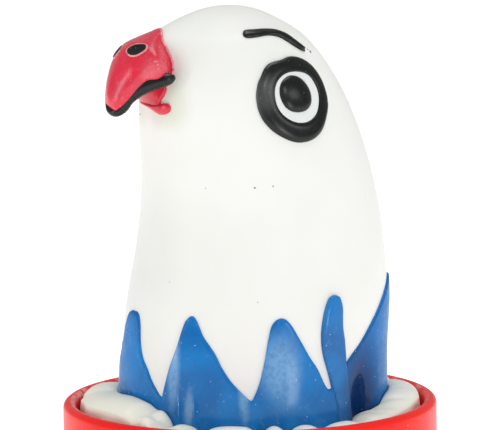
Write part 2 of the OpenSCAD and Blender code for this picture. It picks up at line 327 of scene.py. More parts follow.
def bend(x, knots, values):
    """A smooth curve through values at the knots."""
    knots, values = np.asarray(knots, float), np.asarray(values, float)
    x = np.asarray(x, float)
    flat = values.reshape(len(knots), -1)
    step = np.diff(knots)[:, None]
    chord = np.diff(flat, axis=0) / step
    tangent = np.empty_like(flat)
    tangent[1:-1] = (flat[2:] - flat[:-2]) / (knots[2:] - knots[:-2])[:, None]
    tangent[0], tangent[-1] = chord[0], chord[-1]
    i = np.clip(np.searchsorted(knots, x, side="right") - 1, 0, len(knots) - 2)
    h = (knots[i + 1] - knots[i])[..., None]
    t = (x[..., None] - knots[i][..., None]) / h
    out = cubic(t, h, flat[i], tangent[i], flat[i + 1], tangent[i + 1])
    return out.reshape(x.shape + values.shape[1:])


def spline(points, count, ring=False):
    """count points along a smooth curve through the given ones."""
    points = np.asarray(points, float)
    n = len(points)
    t = np.linspace(0, n if ring else n - 1, count, endpoint=not ring)
    i = np.minimum(t.astype(int), n - 1 if ring else n - 2)
    t = (t - i)[:, None]

    def at(k):
        return points[k % n] if ring else points[np.clip(k, 0, n - 1)]

    a, b, c, d = at(i - 1), at(i), at(i + 1), at(i + 2)
    return 0.5 * (2 * b + (c - a) * t + (2 * a - 5 * b + 4 * c - d) * t**2
                  + (3 * b - a - 3 * c + d) * t**3)


def hump(x, middle, width):
    """1 at the middle, falling away to both sides."""
    return np.exp(-((x - middle) / width) ** 2)


def hump_round(angle, middle, width):
    """A hump at one angle of the full turn, in degrees."""
    apart = (angle - middle + 180) % 360 - 180
    return hump(apart, 0, width)


def smooth(x, low, high):
    """0 up to low, 1 from high on, with a smooth change between them."""
    t = np.clip((x - low) / (high - low), 0, 1)
    return t * t * (3 - 2 * t)


def put(name, data):
    """A new object in the scene."""
    obj = bpy.data.objects.new(name, data)
    bpy.context.scene.collection.objects.link(obj)
    return obj


def build(name, points, faces, look, body="bird", slot=None):
    """A smooth mesh from places in mm, in one material, that rides on a body."""
    mesh = bpy.data.meshes.new(name)
    mesh.from_pydata((np.asarray(points, float).reshape(-1, 3) * MM).tolist(), [], faces)
    mesh.validate()
    mesh.polygons.foreach_set("use_smooth", [True] * len(mesh.polygons))
    mesh.materials.append(look)
    obj = put(name, mesh)
    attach(obj, body)
    return obj


def quads(rows, cols, around=False):
    """Faces of a grid of closed rows; around joins the last row to the first as well."""
    faces = []
    for i in range(rows if around else rows - 1):
        up = (i + 1) % rows
        for j in range(cols):
            k = (j + 1) % cols
            faces.append((i * cols + j, i * cols + k, up * cols + k, up * cols + j))
    return faces


def loft(name, rows, look, **more):
    """A closed skin over loops of points, with a point in the middle of each end."""
    rows = np.asarray(rows)
    m, n = rows.shape[:2]
    faces = quads(m, n)
    low, high = m * n, m * n + 1
    for j in range(n):
        k = (j + 1) % n
        faces.append((low, k, j))
        faces.append((high, (m - 1) * n + j, (m - 1) * n + k))
    points = np.concatenate([rows.reshape(-1, 3), [rows[0].mean(0)], [rows[-1].mean(0)]])
    return build(name, points, faces, look, **more)


# ---------------------------------------------------------------- the head's surface

# Share of the height, then reach to the front, the back and each side, as shares of HEAD_R.
RINGS = np.array([
    [0, 1, 1, 1], [0.124, 0.985, 1, 1], [0.257, 0.945, 0.995, 0.99],
    [0.359, 0.927, 1.005, 0.966], [0.451, 0.882, 1.03, 0.956],
    [0.543, 0.812, 1.018, 0.906], [0.635, 0.769, 0.973, 0.854],
    [0.727, 0.774, 0.884, 0.804], [0.809, 0.792, 0.766, 0.74],
    [0.88, 0.782, 0.618, 0.651], [0.942, 0.682, 0.418, 0.515],
    [0.974, 0.503, 0.227, 0.35], [0.993, 0.334, 0.058, 0.187],
    [1, 0.138, -0.138, 0],
])


def evenly(share):
    """Stretches out the shares near the crown, where the outline turns over."""
    return 1 - np.sqrt(np.clip(1 - share, 0, None))


def dents(angle, share):
    """Soft dents and ridges that the skirt's pull leaves in the head's round base, in mm."""
    low = 1 - smooth(share, 0.2, 0.4)
    foot = 1 - smooth(share, 0.24, 0.31)
    deep = -2.1 * hump_round(angle, 114, 7.2) * (1 - smooth(share, 0.24, 0.39))
    lip = 0.35 * hump_round(angle, 124, 5) * low
    ridges = (0.32 * hump_round(angle, 27.5 - 12 * (share - 0.25), 2.0)
              + 0.34 * hump_round(angle, 35, 1.5)
              + 0.36 * hump_round(angle, 55.5, 1.8)
              + 0.4 * hump_round(angle, 70, 7) * hump(share, 0.31, 0.035)) * foot
    return deep + lip + ridges


def skin(angle, share):
    """The head's smooth outer surface, before its dents."""
    reach = bend(evenly(share), evenly(RINGS[:, 0]), RINGS[:, 1:])
    front, back, side = reach[..., 0], reach[..., 1], reach[..., 2]
    a = np.radians(angle)
    forehead = 0.119 * hump(share, 0.954, 0.04) * np.clip(np.cos(a), 0, None) ** 10
    return np.stack([
        HEAD_R * side * np.sin(a),
        -HEAD_R * ((front - back) / 2 + (front + back) / 2 * np.cos(a) + forehead),
        MOUTH_Z + HEAD_H * share], -1)


def on_head(angle, share, lift=0.0):
    """A place on the head, or lift mm above it."""
    angle, share = np.broadcast_arrays(np.asarray(angle, float), np.asarray(share, float))
    s = np.clip(share, 0.002, 0.997)
    across = skin(angle + 0.5, s) - skin(angle - 0.5, s)
    up = skin(angle, s + 0.002) - skin(angle, s - 0.002)
    out = np.cross(across, up)
    out /= np.linalg.norm(out, axis=-1, keepdims=True)
    return skin(angle, share) + (np.asarray(lift) + dents(angle, share))[..., None] * out


HEAD_SCALE = np.array([0.29, HEAD_H])  # mm for one degree near the eyes and for the whole height


def outline(points, middle, count=144):
    """A closed smooth outline, sampled at equal turns about its middle."""
    p = (spline(points, 900, ring=True) - middle) * HEAD_SCALE
    turn = np.degrees(np.arctan2(p[:, 1], p[:, 0]))
    order = np.argsort(turn)
    turn, p = turn[order], p[order]
    at = np.linspace(-180, 180, count, endpoint=False)
    far = np.interp(at, turn, np.linalg.norm(p, axis=1), period=360)
    a = np.radians(at)
    return middle + np.stack([far * np.cos(a), far * np.sin(a)], -1) / HEAD_SCALE


def patch(name, surface, rim, profile, look, middle=None, **more):
    """A film inside a rim: profile holds (share of the way out, lift) from middle to edge."""
    middle = rim.mean(0) if middle is None else np.asarray(middle)
    rows = []
    for share, lift in profile:
        q = middle + (rim - middle) * max(share, 0.002)
        rows.append(surface(q[:, 0], q[:, 1], lift))
    return loft(name, rows, look, **more)


def dome(height, edge, power=2.5):
    """Profile of a film that swells to height in the middle and rounds off at its edge."""
    sink = -0.12  # its underside, in the rubber below
    shares = [0, 0.2, 0.4, 0.55, 0.68, 0.78, 0.86, 0.92, 0.96, 0.985, 1.0]
    up = [edge + (height - edge) * (1 - s**power) ** 0.5 for s in shares]
    return list(zip(shares, up)) + [(1.0, 0.4 * edge), (0.995, sink), (0.5, sink), (0, sink)]


# ---------------------------------------------------------------- looks

white = white_rubber()
white_grey = white_rubber("white_rubber_grey", 0.07)
film = film_rubber()
blue = blue_rubber()
blue_pale = blue_rubber("blue_rubber_pale", 0.5)
red = red_rubber()
chalk = red_rubber("red_rubber_chalky", 1.0)
black = black_rubber()
plastic = tub_plastic()


# ---------------------------------------------------------------- tub

def arc(cx, cz, r, start, end, count=10):
    """Points of an arc in the section, from one angle in degrees to another."""
    a = np.radians(np.linspace(start, end, count))
    return np.stack([cx + r * np.cos(a), cz + r * np.sin(a)], -1)


def make_tub():
    """Its section, turned round: foot recess, outer wall, round rim, inner wall and floor."""
    rim = TUB_WALL / 2
    inner_r = TUB_R - TUB_WALL
    foot_r = TUB_R - 5.0  # inside of the foot ring
    recess = 0.6          # height of the underside
    soft, outer_round, inner_round = 0.15, 1.5, 2
    hub = 0.01            # radius of the smallest loops
    section = np.concatenate([
        [[hub, recess], [foot_r - 0.2, recess], [foot_r, recess - 0.1], [foot_r, soft]],
        arc(foot_r + soft, soft, soft, 180, 270, 4),
        arc(TUB_R - outer_round, outer_round, outer_round, -90, 0),
        [[TUB_R, z] for z in np.linspace(2 * outer_round, TUB_H - rim - 0.5, 12)],
        arc(TUB_R - rim, TUB_H - rim, rim, 0, 180, 22),
        [[inner_r, z] for z in np.linspace(TUB_H - rim - 0.5, TUB_FLOOR + 2.5, 10)],
        arc(inner_r - inner_round, TUB_FLOOR + inner_round, inner_round, 0, -90),
        [[inner_r / 2, TUB_FLOOR], [hub, TUB_FLOOR]],
    ])
    turns = np.radians(np.linspace(0, 360, 240, endpoint=False))
    rows = [np.stack([r * np.cos(turns), r * np.sin(turns), 0 * turns + z], -1)
            for r, z in section]
    tub = loft("tub_body", rows, plastic, body="tub", slot="tub_plastic")
    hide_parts("tub")


make_tub()


# ---------------------------------------------------------------- head and collar

def make_head():
    """A hollow shell: down its inside from the crown, then up its outside."""
    angles = np.arange(0, 360, 1.5)
    u = np.linspace(0, 0.993, 190)
    shares = 1 - (1 - u) ** 2
    grid_a, grid_s = np.meshgrid(angles, shares)
    outer = on_head(grid_a, grid_s)
    inner = on_head(grid_a, grid_s, -HEAD_WALL)
    inner[0, :, 2] = outer[0, :, 2]
    rows = np.concatenate([inner[::-1], outer])
    head = loft("head_skin", rows, white, slot="white_rubber")
    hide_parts("head_shell")


make_head()

# Upper edge of the collar from its own front: [angle, share].
FEATHERS = [
    [0, 0.4375], [2.5, 0.4375], [5, 0.431], [7, 0.412], [8.4, 0.384], [11, 0.358],
    [14.5, 0.34], [17.8, 0.319], [21.3, 0.301], [23.4, 0.2925], [24.7, 0.2935],
    [26.3, 0.315], [28.9, 0.352], [31.8, 0.386], [34, 0.422], [35.5, 0.439], [38, 0.446],
    [40.5, 0.437], [44, 0.411], [47.5, 0.393], [50.5, 0.376], [53.5, 0.353], [57.4, 0.329],
    [62, 0.308], [65.3, 0.295], [66.7, 0.299], [69.4, 0.327], [71.4, 0.365], [72.4, 0.405],
    [73.6, 0.433], [77, 0.444], [81, 0.435], [87, 0.398], [91, 0.371], [95, 0.346],
    [99, 0.312], [102, 0.308], [106, 0.33], [109.5, 0.346], [113, 0.36], [119, 0.381],
    [127, 0.415], [137, 0.45], [147, 0.474], [158, 0.488], [168, 0.466], [175, 0.395],
    [180, 0.361],
]


def feather_edge(count=720):
    """The whole edge: the left half and its mirror image, with one feather moved over."""
    half = np.array(FEATHERS)
    other = half[-2::-1] * [-1, 1] + [360, 0]
    other[:, 0] -= 3 * hump(other[:, 0], 335, 25) * smooth(360 - other[:, 0], 0, 12)
    whole = spline(np.concatenate([half, other]), count)[:-1]
    return whole + [COLLAR_TURN, 0]


def make_collar():
    """A film of even thickness whose upper edge is rounded off."""
    edge = feather_edge()
    low = 0.03       # share of the height where the film starts
    rounding = 0.35  # mm
    up = np.concatenate([np.linspace(0, 0.9, 60), [0.93, 0.955, 0.975, 0.988, 0.996, 1.0]])
    rows = []
    for k in up:
        over = (1 - k) * (edge[:, 1] - low) * HEAD_H  # mm below the edge
        lift = COLLAR_T * np.sqrt(np.clip(1 - (1 - np.clip(over / rounding, 0, 1)) ** 2, 0.02, 1))
        rows.append(on_head(edge[:, 0], low + (edge[:, 1] - low) * k, lift))
    rows.append(on_head(edge[:, 0], edge[:, 1], SUNK))
    rows.append(on_head(edge[:, 0], 0 * edge[:, 1] + low, SUNK))
    points = np.asarray(rows)
    collar = build("collar_film", points, quads(len(rows), len(edge), around=True), blue,
                   slot="blue_rubber")
    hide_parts("feather_collar")


make_collar()

# Raised feather on the side: share, then its two edges in degrees from the collar's own front.
TALL = [[0.22, 105.5, 117], [0.25, 104.5, 115.5], [0.28, 103.4, 113], [0.31, 101.8, 111.2],
        [0.34, 99.9, 110.1], [0.372, 97.5, 109.2], [0.395, 96.4, 108.3], [0.415, 96, 107],
        [0.435, 96.3, 106.4], [0.452, 97, 106.2], [0.464, 98, 105.5], [0.4745, 99.4, 104.2],
        [0.4785, 101.2, 102.6]]


def make_tall_feather(name, side):
    """A film over the collar's, thinner towards its tip."""
    table = np.array(TALL)
    low_end, top_end = table[0, 0], table[-1, 0]
    share = top_end - (top_end - low_end) * (1 - np.sqrt(1 - np.linspace(1, 0, 120) ** 2))
    edges = bend(share, table[:, 0], table[:, 1:])
    across = np.linspace(-1, 1, 25)
    rows = []
    for s, (a, b) in zip(share, edges):
        middle, half = (a + b) / 2, (b - a) / 2
        full = min(1, half / 2.5)
        thick = full * (0.22 + 0.5 * np.sqrt(np.clip(1 - np.abs(across) ** 3, 0, 1)))
        top = on_head(side * (middle + half * across) + COLLAR_TURN, s, 0.1 + thick)
        low = on_head(side * (middle - half * across) + COLLAR_TURN, s, SUNK)
        rows.append(np.concatenate([top, low]))
    piece = loft(name + "_film", rows, blue_pale, slot="blue_rubber")
    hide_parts(name)


for which, side in SIDES.items():
    make_tall_feather("tall_feather_" + which, side)


# ---------------------------------------------------------------- eyes and brows

# The eye's middle, then the rims of its black patch, its white ring and its pupil, all as
# [angle, share].
EYE = np.array([96, 0.848])
PATCH = [[70.4, 0.84], [71.5, 0.853], [74.2, 0.8706], [77, 0.8814], [80.8, 0.895],
         [85, 0.9035], [90, 0.907], [95, 0.909], [101.5, 0.913], [107.5, 0.912],
         [113.5, 0.905], [118, 0.89], [119.2, 0.869], [117.8, 0.847], [114.4, 0.822],
         [108.6, 0.798], [102.8, 0.778], [96.6, 0.7655], [90.6, 0.7605], [85, 0.7615],
         [79.5, 0.77], [74.5, 0.784], [71, 0.803], [69.9, 0.822]]
WHITE = [[80.2, 0.838], [81.8, 0.856], [85.5, 0.872], [91.2, 0.883], [98, 0.887],
         [105, 0.885], [109.8, 0.877], [111.3, 0.86], [110.2, 0.842], [107, 0.824],
         [102.4, 0.807], [97, 0.7965], [91.8, 0.793], [86.6, 0.797], [82.4, 0.808],
         [80.3, 0.822]]
PUPIL = [[84, 0.845], [86, 0.862], [90, 0.874], [95.5, 0.88], [101, 0.876], [104, 0.864],
         [104.4, 0.847], [102, 0.829], [97.5, 0.8175], [92.5, 0.814], [87.5, 0.817],
         [84.5, 0.828]]
# Upper and lower edge of the eyebrow, from its thick end to its point.
BROW_TOP = [[74.2, 0.957], [75.8, 0.9615], [79.4, 0.963], [86.4, 0.9632], [95.2, 0.9633],
            [103.8, 0.9615], [110.5, 0.9573], [116, 0.9506], [119.7, 0.938], [121.7, 0.9305],
            [122.7, 0.924], [122.3, 0.9195]]
BROW_LOW = [[74.2, 0.956], [74.8, 0.952], [77.6, 0.95], [84.4, 0.9503], [93, 0.9519],
            [98.6, 0.9518], [103.6, 0.9495], [106.8, 0.9465], [109.2, 0.942],
            [111.6, 0.936], [114.2, 0.9294], [118.2, 0.9213], [121.2, 0.918]]


def mirrored(rim, side):
    """The rim as it lies on this side of the head, turning the same way round."""
    return rim if side > 0 else (rim * [-1, 1])[::-1]


def ring_film(name, inner, outer, profile, side, look):
    """A raised band between two outlines."""
    rows = []
    for share, lift in profile:
        q = mirrored(inner + (outer - inner) * share, side)
        rows.append(on_head(q[:, 0], q[:, 1], lift))
    rows = np.asarray(rows)
    return build(name, rows, quads(*rows.shape[:2], around=True), look)


def swelling(start, end, height):
    """Profile of a band from one share to another, swollen between its sunk edges."""
    t = np.linspace(0, 1, 15)
    up = 0.2 + height * np.clip(1 - np.abs(2 * t - 1) ** 2.8, 0, 1) ** 0.6
    return list(zip(start + (end - start) * t, up)) + [(end, SUNK), (start, SUNK)]


def make_eye(which, side):
    """The black band, the white ring inside it and the domed pupil inside that."""
    pupil_rim, white_rim, patch_rim = (outline(p, EYE) for p in (PUPIL, WHITE, PATCH))
    piece = ring_film("eye_patch_band_" + which, white_rim, patch_rim,
                      swelling(-0.12, 1.0, 0.45), side, black)
    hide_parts("eye_patch_" + which)
    piece = ring_film("eye_ring_" + which, pupil_rim, white_rim,
                      swelling(-0.2, 1.1, 0.22), side, white_grey)
    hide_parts("eye_white_" + which)
    middle = EYE * [side, 1]
    piece = patch("pupil_dome_" + which, on_head, mirrored(pupil_rim, side),
                  dome(0.95, 0.3, 2.2), black, middle=middle)
    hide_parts("pupil_" + which)


def make_brow(which, side):
    """A rounded stroke, thick at its front end and drawn out to a point."""
    upper = spline(BROW_TOP, 90)
    lower = spline(BROW_LOW, 90)
    a = np.radians(np.linspace(0, 360, 20, endpoint=False))
    rows = []
    for p, q in zip(upper, lower):
        mid, half = (p + q) / 2, (p - q) / 2
        wide = np.linalg.norm(half * HEAD_SCALE)
        place = mid + half * np.cos(a)[:, None]
        lift = 0.06 + min(0.55, 0.75 * wide) * np.sin(a)
        loop = on_head(place[:, 0] * side, place[:, 1], lift)
        rows.append(loop[::-side])  # so that the faces look outwards on both sides
    piece = loft("brow_stroke_" + which, rows, black, slot="black_rubber")
    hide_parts("eyebrow_" + which)


for which, side in SIDES.items():
    make_eye(which, side)
    make_brow(which, side)


# Small splashes of black beyond the point of the left eyebrow, and stray specks on the
# white: [angle, share, half-width in mm].
SPLASHES = [[121.6, 0.941, 0.09], [124.9, 0.93, 0.1], [125.9, 0.925, 0.14], [127.8, 0.9206, 0.12],
            [129, 0.9158, 0.22], [35, 0.68, 0.07], [59.8, 0.4745, 0.07], [16.5, 0.503, 0.06],
            [-17, 0.802, 0.1]]


def make_splashes():
    """One mesh of little flat drops."""
    points, faces = [], []
    corners = 12
    a = np.radians(np.linspace(0, 360, corners, endpoint=False))
    profile = ((1, -0.05), (0.8, 0.06), (0.05, 0.09))  # share of the half-width, lift
    for angle, share, half in SPLASHES:
        first = len(points)
        for k, lift in profile:
            points += list(on_head(angle + half * k * np.cos(a) / HEAD_SCALE[0],
                                   share + half * k * np.sin(a) / HEAD_SCALE[1], lift))
        faces += [tuple(first + v for v in f) for f in quads(len(profile), corners)]
        faces.append(tuple(range(len(points) - corners, len(points))))
        faces.append(tuple(first + k for k in reversed(range(corners))))
    build("black_splashes", points, faces, black, slot="black_rubber")


make_splashes()


# ---------------------------------------------------------------- beak

# Where the beak's film ends on the head: turn round the beak from its ridge, then
# [angle, share].
ROOT = [[0, 0, 0.9625], [25, 7, 0.958], [50, 12.7, 0.9465], [70, 18, 0.93], [90, 21.5, 0.9085],
        [112, 21.5, 0.885], [132, 17, 0.874], [156, 9, 0.868], [180, 0, 0.866]]
# Ridge and underside as [forward share of HEAD_R, share of height], then the half-width.
SECTIONS = [
    [0.8825, 0.949, 0.86, 0.872, 0.285],
    [0.948, 0.9415, 0.91, 0.863, 0.255],
    [1.026, 0.924, 0.965, 0.853, 0.215],
    [1.082, 0.896, 1.015, 0.841, 0.172],
    [1.116, 0.875, 1.05, 0.83, 0.132],
    [1.137, 0.8515, 1.08, 0.823, 0.096],
    [1.136, 0.835, 1.105, 0.82, 0.066],
]
# The rounded lobe behind the mouth, in mm: its middle, its reach, its swelling, and the two
# heights between which it fades out below.
LOBE = np.array([5.9, -19.3, 78.0])
LOBE_R = 2.2
LOBE_SWELL = 0.8
LOBE_FOOT = [76.8, 77.9]


def root_loop(turn, lift, inset):
    """The end of the beak's film on the head, lifted, and drawn in towards its middle."""
    side = np.where(turn < 0, -1, 1)
    q = bend(np.abs(turn), [r[0] for r in ROOT], [r[1:] for r in ROOT])
    centre = np.array([0, 0.915])
    q = centre + (q - centre) * inset
    return on_head(q[..., 0] * side, q[..., 1], lift)


def beak_loops(turn):
    """The beak's key loops at these turns, from its buried root to its tip."""
    loops = [root_loop(turn, -0.4, 1.0), root_loop(turn, 0.12, 1.0),
             root_loop(turn, 0.42, 0.965)]
    a = np.radians(turn)
    for k, (top_f, top_s, low_f, low_s, half) in enumerate(SECTIONS):
        # How square the section is: 1 makes a lozenge, 2 an ellipse and more a box.
        boxy = np.where(np.cos(a) < 0, 3.0, 1.5 + 0.4 * 0.5**k)
        wide = (np.abs(np.sin(a)) ** boxy + np.abs(np.cos(a)) ** boxy) ** (-1 / boxy)
        f = (top_f + low_f) / 2 + (top_f - low_f) / 2 * wide * np.cos(a)
        s = (top_s + low_s) / 2 + (top_s - low_s) / 2 * wide * np.cos(a)
        loops.append(np.stack([HEAD_R * half * wide * np.sin(a), -HEAD_R * f,
                               MOUTH_Z + HEAD_H * s], -1))
    tip = np.array([0, -HEAD_R * 1.12, MOUTH_Z + HEAD_H * 0.8245])
    loops.append(tip + 0 * loops[-1])
    return np.stack(loops)


KNOTS = [0, 0.12, 0.3, 1, 2, 3, 4, 5, 6, 7, 8]  # where each key loop stands along the beak


def bare_beak(along, turn):
    """A smooth skin through the key loops, before the lobe is added."""
    loops = np.moveaxis(beak_loops(turn), 0, -2)
    knots = np.asarray(KNOTS, float)
    tangent = np.empty_like(loops)
    tangent[..., 1:-1, :] = ((loops[..., 2:, :] - loops[..., :-2, :])
                             / (knots[2:] - knots[:-2])[:, None])
    tangent[..., 0, :] = (loops[..., 1, :] - loops[..., 0, :]) / (knots[1] - knots[0])
    tangent[..., -1, :] = (loops[..., -1, :] - loops[..., -2, :]) / (knots[-1] - knots[-2])
    i = np.clip(np.searchsorted(knots, along, side="right") - 1, 0, len(knots) - 2)

    def pick(values, k):
        return np.take_along_axis(values, k[..., None, None], axis=-2)[..., 0, :]

    h = (knots[i + 1] - knots[i])[..., None]
    t = (along - knots[i])[..., None] / h
    return cubic(t, h, pick(loops, i), pick(tangent, i), pick(loops, i + 1),
                 pick(tangent, i + 1))


def on_beak(along, turn, lift=0.0):
    """A place on the beak, or lift mm above it: knots from the root, degrees from the ridge."""
    along, turn = np.broadcast_arrays(np.asarray(along, float), np.asarray(turn, float))
    a = np.clip(along, 0.02, 7.9)
    d_along = bare_beak(a + 0.02, turn) - bare_beak(a - 0.02, turn)
    d_turn = bare_beak(a, turn + 1) - bare_beak(a, turn - 1)
    out = np.cross(d_along, d_turn)
    out /= np.linalg.norm(out, axis=-1, keepdims=True) + 1e-12
    p = bare_beak(along, turn)
    far = np.minimum(np.linalg.norm(p - LOBE, axis=-1),
                     np.linalg.norm(p - LOBE * [-1, 1, 1], axis=-1))
    swell = LOBE_SWELL * np.sqrt(np.clip(1 - (far / LOBE_R) ** 2, 0, 1))
    swell *= smooth(p[..., 2], *LOBE_FOOT)
    return p + (np.asarray(lift) + swell)[..., None] * out


def make_beak():
    """The skin, with closer loops at its root and at its tip."""
    along = np.concatenate([np.linspace(0, 0.3, 10), np.linspace(0.3, 7.2, 140)[1:],
                            np.linspace(7.2, 7.97, 14)[1:]])
    turn = np.linspace(-180, 180, 240, endpoint=False)
    grid = np.meshgrid(along, turn, indexing="ij")
    piece = loft("beak_skin", on_beak(*grid), red, slot="red_rubber")
    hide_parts("beak_upper")


make_beak()

# Each nostril: its middle, long and short half-axes and the bow of its long axis, along and
# round the beak.
NOSTRILS = {"left": [[2.16, 28], [-0.79, 9.5], [0.2, 15.0], [-0.195, -4]],
            "right": [[2.6, -29.0], [-0.5, -7.5], [0.2, -13], [0, 0]]}
LIPS = {"left": 0.14, "right": 0.26}  # height of each nostril's lip in mm


def tube(name, path, radius, look, slot):
    """A round bead along a closed path."""
    ahead = np.roll(path, -1, 0) - np.roll(path, 1, 0)
    ahead /= np.linalg.norm(ahead, axis=1, keepdims=True)
    side = np.cross([0.3, -0.6, 0.74], ahead)  # from a direction that no path follows
    side /= np.linalg.norm(side, axis=1, keepdims=True)
    over = np.cross(ahead, side)
    a = np.radians(np.linspace(0, 360, 20, endpoint=False))
    ring = side[:, None] * np.cos(a)[:, None] + over[:, None] * np.sin(a)[:, None]
    rows = path[:, None] + radius * ring
    build(name, rows, quads(*rows.shape[:2], around=True), look, slot=slot)


def make_nostril(which):
    """A black pit with a raised lip, ringed by a worn line."""
    a = np.radians(np.linspace(0, 360, 72, endpoint=False))[:, None]
    middle, long, short, bow = np.array(NOSTRILS[which])
    rim = middle + long * np.cos(a) + short * np.sin(a) + bow * np.cos(a) ** 2
    lip = LIPS[which]
    profile = [(0, 0.03), (0.35, 0.04), (0.6, 0.4 * lip), (0.8, lip - 0.02), (0.93, lip),
               (1, lip - 0.08), (1, -0.2)]
    piece = patch("nostril_" + which + "_pit", on_beak, rim, profile, black, middle=middle,
                  slot="black_rubber")
    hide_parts("nostril_" + which)
    tube("nostril_" + which + "_rim", on_beak(rim[:, 0], rim[:, 1], 0.03), radius=0.16,
         look=chalk, slot="red_rubber")


for which in NOSTRILS:
    make_nostril(which)

tube("beak_film_edge", root_loop(np.linspace(-180, 180, 200, endpoint=False), 0.2, 1.0),
     radius=0.22, look=chalk, slot="red_rubber")

# The mouth bead: sideways and forward shares of HEAD_R, share of height, radius in mm.
MOUTH = [[-0.316, 0.745, 0.8825, 0.3], [-0.3, 0.79, 0.8795, 0.85], [-0.266, 0.849, 0.8765, 1.1],
         [-0.211, 0.913, 0.872, 1.0], [-0.15, 0.985, 0.868, 0.8], [-0.095, 1.05, 0.858, 0.6],
         [-0.062, 1.095, 0.843, 0.45], [-0.04, 1.112, 0.829, 0.5], [-0.012, 1.111, 0.8205, 0.6],
         [0.03, 1.09, 0.818, 0.75], [0.062, 1.052, 0.8265, 0.87], [0.1, 1.018, 0.8435, 0.92],
         [0.156, 0.966, 0.859, 1.03], [0.211, 0.913, 0.8695, 1.1], [0.258, 0.855, 0.8765, 1.12],
         [0.29, 0.795, 0.8805, 0.95], [0.305, 0.755, 0.8835, 0.35]]


def make_mouth():
    """A round bead of changing thickness along the mouth's path."""
    path = spline(MOUTH, 150)
    place = np.stack([HEAD_R * path[:, 0], -HEAD_R * path[:, 1],
                      MOUTH_Z + HEAD_H * path[:, 2]], -1)
    t = np.gradient(place, axis=0)
    t /= np.linalg.norm(t, axis=1, keepdims=True)
    e = np.cross([0, 0, 1.0], t)
    e /= np.linalg.norm(e, axis=1, keepdims=True)
    f = np.cross(t, e)
    a = np.radians(np.linspace(0, 360, 28, endpoint=False))
    rows = (place[:, None] + path[:, None, 3:] * (e[:, None] * np.cos(a)[:, None]
                                                  + f[:, None] * np.sin(a)[:, None]))
    piece = loft("mouth_bead", rows, black, slot="black_rubber")
    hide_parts("mouth_line")


make_mouth()

# Rims of the lower beak and of the drop under it: [angle, share].
LOWER = [[-23, 0.834], [-16, 0.827], [-3.4, 0.8224], [4.4, 0.8185], [9.4, 0.8244],
         [11.6, 0.836], [15, 0.848], [16.4, 0.8605], [12.8, 0.869], [5, 0.8635],
         [-4.6, 0.8535]]
DROP = [[-14, 0.8276], [-3.4, 0.8222], [3.4, 0.817], [8, 0.8122], [11.6, 0.8102],
        [15.6, 0.813], [18.2, 0.819], [18.8, 0.826], [17.4, 0.831], [14.2, 0.832],
        [10.4, 0.8293], [4.8, 0.8275], [-3.2, 0.829]]
lower = patch("beak_lower_film", on_head, spline(LOWER, 160, ring=True), dome(0.55, 0.2), red,
              slot="red_rubber")
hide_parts("beak_lower")
drop = patch("chin_drop_bead", on_head, spline(DROP, 120, ring=True), dome(0.75, 0.2), red,
             slot="red_rubber")
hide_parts("chin_drop")


# ---------------------------------------------------------------- skirt

# Height of the gathered film where it meets the collar: [angle, mm above the ground].
CREST = [
    [-62, 24.3], [-56, 25.4], [-42, 26.6], [-36, 26.3], [-31, 25.3], [-26, 26.6],
    [-10, 27.3], [1, 27.6], [12, 27.1], [16.5, 26.4], [20.5, 26.3], [24, 25.2],
    [27.5, 23.2], [30, 23.9], [34, 24.1], [38, 23.7], [41, 22.5], [45, 23.6], [50, 24.1],
    [57, 24.1], [61, 23.8], [63.5, 22.9], [66, 23.8], [69, 24.2], [72, 23.8],
    [74.5, 22.9], [77, 23.8], [81, 24.0], [85, 23.6], [87.5, 22.9], [91, 23.5],
    [97, 23.8], [102, 23.6], [105, 23.3], [108, 23.9], [116, 24.4], [124, 25.3],
    [134, 26.6], [150, 26.8], [165, 26.2], [172, 25.4], [176, 24.2], [181, 25.4],
    [192, 26.2], [202, 25.2], [206, 24.1], [211, 25.3], [224, 26.0], [234, 25.2],
    [238, 24.2], [243, 25.4], [258, 26.4], [278, 26.2], [291, 25.3], [298, 24.3],
]
# Angles of the creases between the folds.
CREASES = [-62, -31, 16.5, 27.5, 41, 63.5, 74.5, 87.5, 105, 176, 206, 238]
# Small wrinkles over the top: [angle, degrees of drift on the way outwards, depth in mm].
WRINKLES = [[112, 5, 0.3], [119, 4, 0.42], [127, 6, 0.38], [141, 8, 0.2], [-30, -6, 0.12],
            [155, -4, 0.22]]
TOP_TURN = math.radians(63)  # the gathered top rounds over by this on each side of its middle


